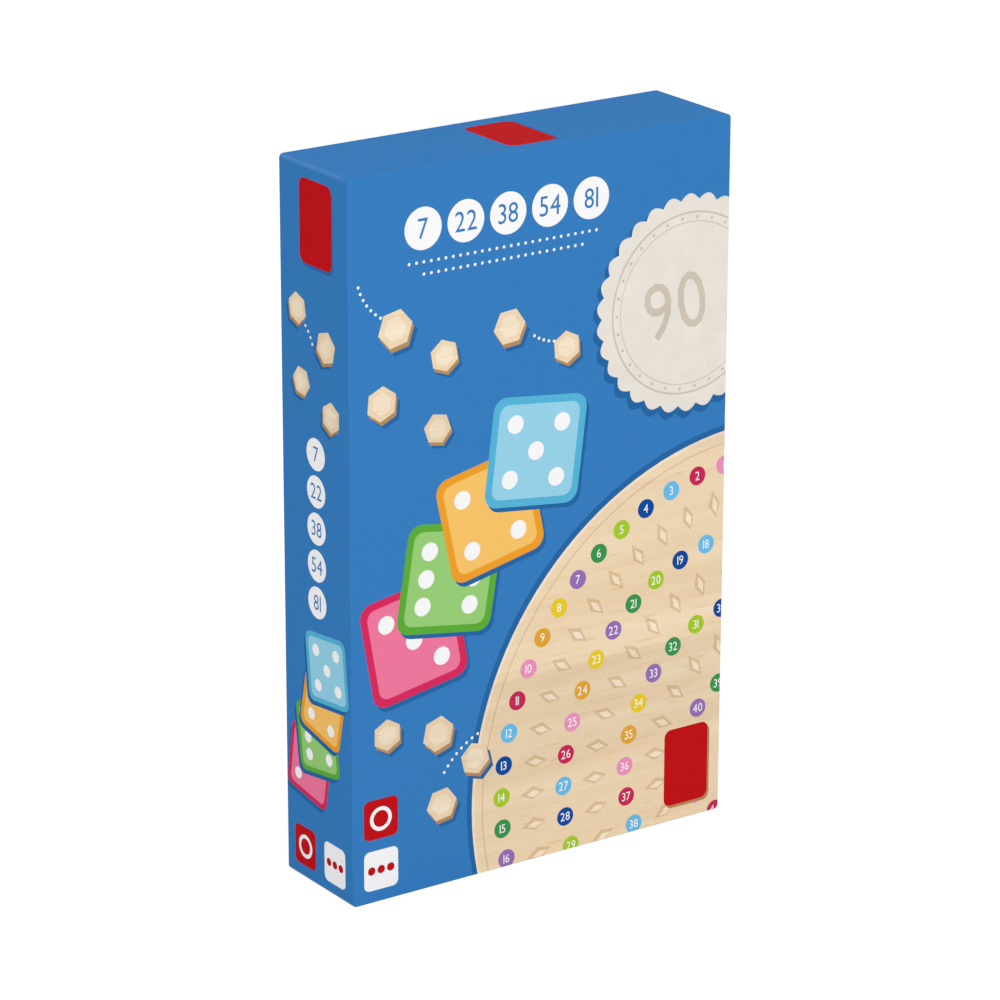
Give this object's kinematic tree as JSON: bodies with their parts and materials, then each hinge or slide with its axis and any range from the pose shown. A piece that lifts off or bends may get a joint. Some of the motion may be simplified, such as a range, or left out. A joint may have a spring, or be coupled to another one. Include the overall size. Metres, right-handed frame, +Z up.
{
  "type": "boxed bingo game",
  "caption": "Upright lift-off-lid box of a bingo game, with a folding wooden board, cards, disc markers and a drawstring bag of numbered balls inside.",
  "frame": {"origin": "middle of the closed box's underside as it stands upright on its short end", "axes": "+Z up along the box's long side, +X across the front to the right, -Y out of the printed front"},
  "size_m": [0.225, 0.06, 0.37],
  "materials": {
    "printed_paper": "printed art paper with a satin varnish",
    "tray_paper": "plain printed paper",
    "greyboard": "solid greyboard",
    "tape": "gummed paper tape",
    "insert_card": "folded white card",
    "card_blue": "printed thick card",
    "card_orange": "printed thick card",
    "card_green": "printed thick card",
    "card_pink": "printed thick card",
    "leaflet_paper": "folded white paper",
    "board_wood": "clear-coated light hardwood",
    "ball_wood": "turned light hardwood",
    "disc_wood": "sanded light hardwood",
    "hinge_steel": "nickel-plated steel",
    "screw_steel": "zinc-plated steel",
    "cotton": "unbleached cotton calico",
    "cord_cotton": "twisted cotton cord"
  },
  "bodies": {
    "tray": {"tray_back_panel": "greyboard", "tray_side_walls": "greyboard", "tray_end_walls": "greyboard", "tray_corner_tapes": "tape", "tray_wrap": "tray_paper", "insert_ledges": "insert_card", "insert_trough": "insert_card", "cards_blue": "card_blue", "cards_orange": "card_orange", "cards_green": "card_green", "cards_pink": "card_pink", "rules_leaflet": "leaflet_paper", "marker_discs": "disc_wood", "bag": "cotton", "bag_cord": "cord_cotton", "number_balls": "ball_wood"},
    "lid": {"lid_front_panel": "greyboard", "lid_side_walls": "greyboard", "lid_end_walls": "greyboard", "lid_corner_tapes": "tape", "lid_wrap": "printed_paper"},
    "back_leaf": {"board_back_leaf": "board_wood", "hinge_back_plates": "hinge_steel", "hinge_pins": "hinge_steel", "back_hinge_screws": "screw_steel"},
    "front_leaf": {"board_front_leaf": "board_wood", "hinge_front_plates": "hinge_steel", "front_hinge_screws": "screw_steel"}
  },
  "joints": [
    {"name": "lid_slide", "type": "slide", "parent": "tray", "child": "lid", "axis": [0, -1, 0], "range_m": [0, 0.66]},
    {"name": "board_slide", "type": "slide", "parent": "tray", "child": "back_leaf", "axis": [0, -1, 0], "range_m": [0, 0.099]},
    {"name": "board_fold", "type": "hinge", "parent": "back_leaf", "child": "front_leaf", "pos_m": [0, -0.0158, 0.1707], "axis": [-1, 0, 0], "range_deg": [0, 180]}
  ],
  "couplings": [
    {"joint": "board_slide", "follows": "lid_slide", "ratio": 0.15},
    {"joint": "board_fold", "follows": "lid_slide", "rad_per_m": 4.7595}
  ]
}
